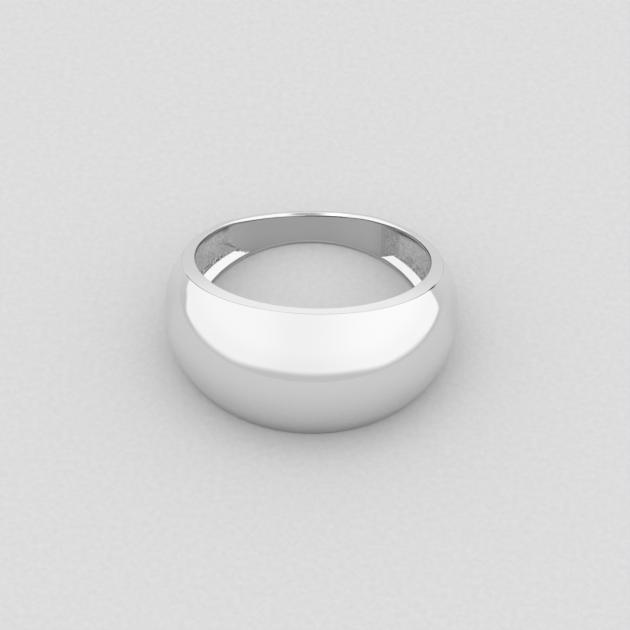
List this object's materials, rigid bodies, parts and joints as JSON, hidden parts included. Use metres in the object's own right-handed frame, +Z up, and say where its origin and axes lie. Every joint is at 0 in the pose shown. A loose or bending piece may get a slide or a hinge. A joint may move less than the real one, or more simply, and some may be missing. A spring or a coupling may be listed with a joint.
{
  "type": "domed silver ring",
  "caption": "Plain domed finger ring: a polished tapered band, wide and thick in front, narrow and thin behind, with flat rims and a hollowed inside.",
  "frame": {"origin": "centre of the ring's outline at the plane of the lower rim, on which it lies", "axes": "+Z up from the surface it lies on, -Y towards the wide domed front, +X to the right seen from the front; the bore's axis leans 11.9 degrees from +Z towards +Y, because the rims converge to the back"},
  "size_m": [0.0216, 0.0208, 0.0106],
  "materials": {
    "silver": "high-polish sterling silver, slightly satin inside the hollow"
  },
  "bodies": {
    "root": {"band": "silver"}
  },
  "joints": []
}
